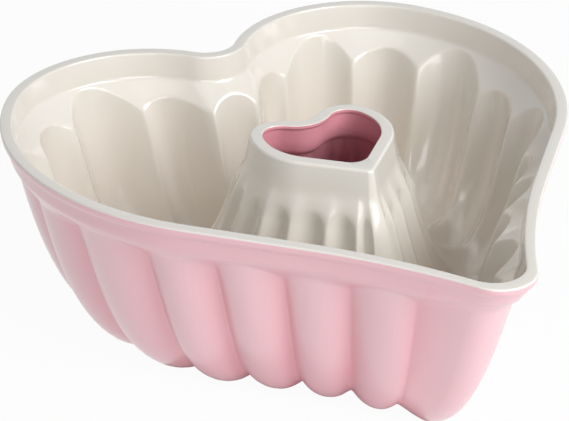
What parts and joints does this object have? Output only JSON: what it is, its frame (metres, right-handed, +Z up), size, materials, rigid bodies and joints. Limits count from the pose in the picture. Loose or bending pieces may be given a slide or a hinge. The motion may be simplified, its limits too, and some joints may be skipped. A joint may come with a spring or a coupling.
{
  "type": "heart fluted tube pan",
  "caption": "Heart shaped fluted tube pan, cast in one piece, with a heart shaped tube in the middle of its ring channel and a flat rim around the top.",
  "frame": {"origin": "centre of the bounding box, at the table the pan stands on", "axes": "+X across the two lobes, +Y from the heart's tip to its notch, +Z up, out of the cavity"},
  "size_m": [0.2598, 0.2805, 0.094],
  "materials": {
    "pan": "satin pink coating outside, glossy cream non-stick coating inside and on the rim"
  },
  "bodies": {
    "root": {"pan": "pan"}
  },
  "joints": []
}
